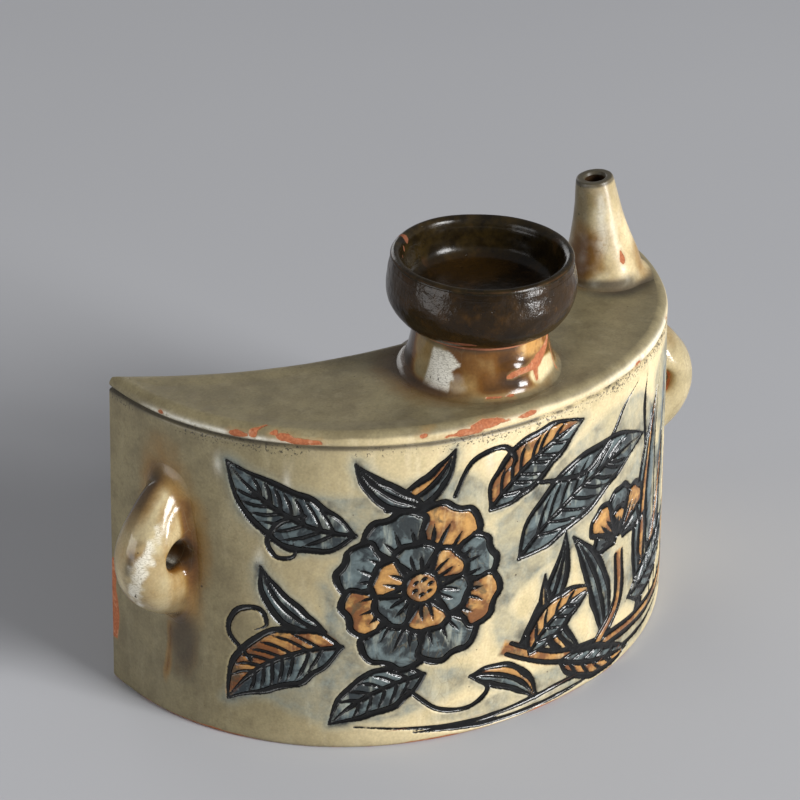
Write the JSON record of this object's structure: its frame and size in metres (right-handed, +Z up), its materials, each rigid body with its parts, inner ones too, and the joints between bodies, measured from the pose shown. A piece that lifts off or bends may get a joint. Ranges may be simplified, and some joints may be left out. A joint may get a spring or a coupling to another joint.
{
  "type": "ceramic hip flask",
  "caption": "Crescent-shaped stoneware flask with a lift-off dish lid, a tall pouring spout and two pierced lugs for a carrying cord.",
  "frame": {"origin": "on the plane the flask stands on, midway between the tips and halfway between the front of the base and the line through the tips", "axes": "+X along the width from the plain end to the spout end, -Y out of the bowed front, +Z up"},
  "size_m": [0.2327, 0.0965, 0.1505],
  "materials": {
    "cream_glaze": "glossy grey-cream ash glaze over stoneware, amber where it pools",
    "dark_glaze": "glossy dark brown iron glaze",
    "bare_clay": "unglazed orange-red fired clay"
  },
  "bodies": {
    "flask": {"base_slab": "cream_glaze", "front_wall": "cream_glaze", "back_wall": "cream_glaze", "top_slab": "cream_glaze", "neck": "cream_glaze", "spout": "cream_glaze", "left_lug": "cream_glaze", "right_lug": "cream_glaze"},
    "lid": {"lid_dish": "dark_glaze", "lid_flange": "bare_clay"}
  },
  "joints": [
    {"name": "lid_lift", "type": "slide", "parent": "flask", "child": "lid", "axis": [0, 0, 1], "range_m": [0, 0.035]}
  ]
}
